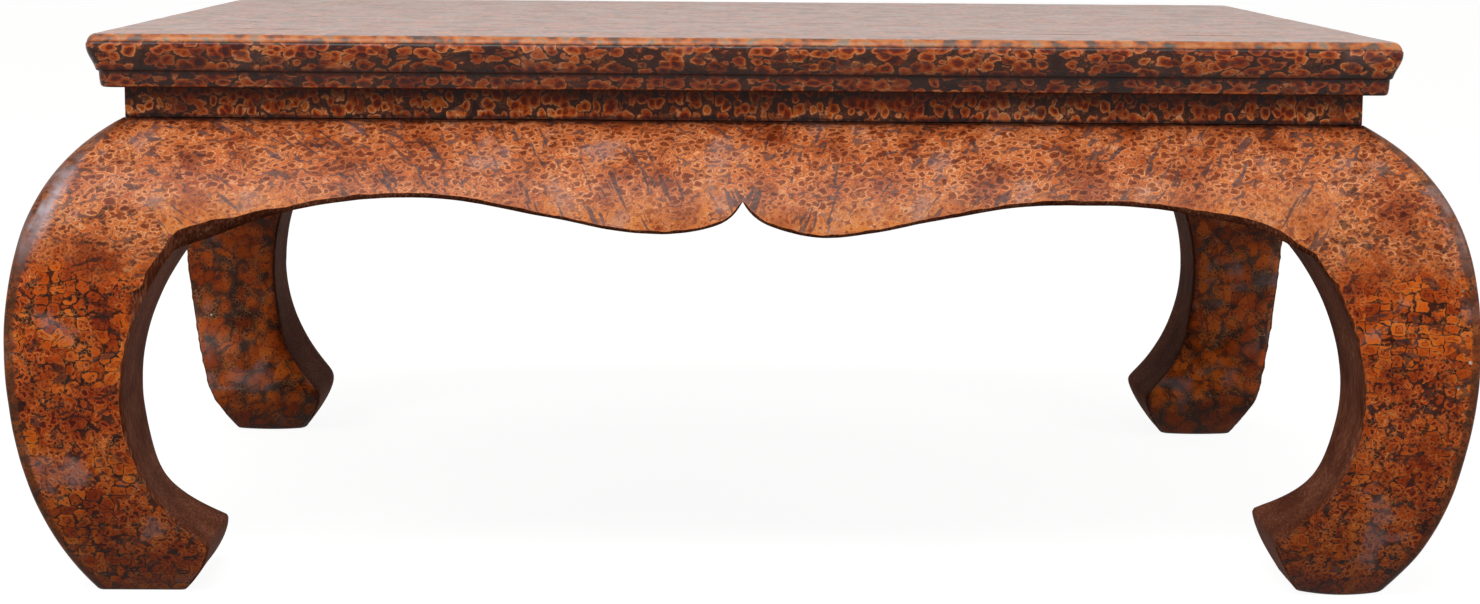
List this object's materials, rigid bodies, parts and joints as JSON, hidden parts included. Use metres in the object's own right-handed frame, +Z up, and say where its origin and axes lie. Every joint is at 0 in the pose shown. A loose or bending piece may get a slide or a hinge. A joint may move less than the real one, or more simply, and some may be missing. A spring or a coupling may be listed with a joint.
{
  "type": "kang table",
  "caption": "Low rectangular waisted table with bulging aprons, cusped lower edges and C-curved legs ending in inward hoof feet, mottled lacquer all over.",
  "frame": {"origin": "on the floor, under the middle of the top", "axes": "+X along the table's length to its right, +Y from front to back, +Z up"},
  "size_m": [1.178, 0.888, 0.457],
  "materials": {
    "leg_lacquer": "mottled orange and dark brown lacquer, semi-gloss",
    "apron_lacquer": "mottled tan-orange and dark brown lacquer, semi-gloss",
    "waist_lacquer": "dark mottled lacquer, semi-gloss",
    "frame_lacquer": "mottled orange and dark brown lacquer, semi-gloss",
    "panel_lacquer": "mottled brown lacquer, polished",
    "underside_lacquer": "dark brown undercoat",
    "dowel_wood": "bare wood"
  },
  "bodies": {
    "root": {"leg_front_left": "leg_lacquer", "leg_front_right": "leg_lacquer", "leg_back_left": "leg_lacquer", "leg_back_right": "leg_lacquer", "apron_front": "apron_lacquer", "apron_back": "apron_lacquer", "apron_left": "apron_lacquer", "apron_right": "apron_lacquer", "waist_front": "waist_lacquer", "waist_back": "waist_lacquer", "waist_left": "waist_lacquer", "waist_right": "waist_lacquer", "frame_stile_front": "frame_lacquer", "frame_stile_back": "frame_lacquer", "frame_rail_left": "frame_lacquer", "frame_rail_right": "frame_lacquer", "panel_board_front": "panel_lacquer", "panel_board_middle": "panel_lacquer", "panel_board_back": "panel_lacquer", "batten_left": "underside_lacquer", "batten_middle": "underside_lacquer", "batten_right": "underside_lacquer", "waist_dowels_front": "dowel_wood", "waist_dowels_back": "dowel_wood", "waist_dowels_left": "dowel_wood", "waist_dowels_right": "dowel_wood", "frame_pegs": "dowel_wood"}
  },
  "joints": []
}
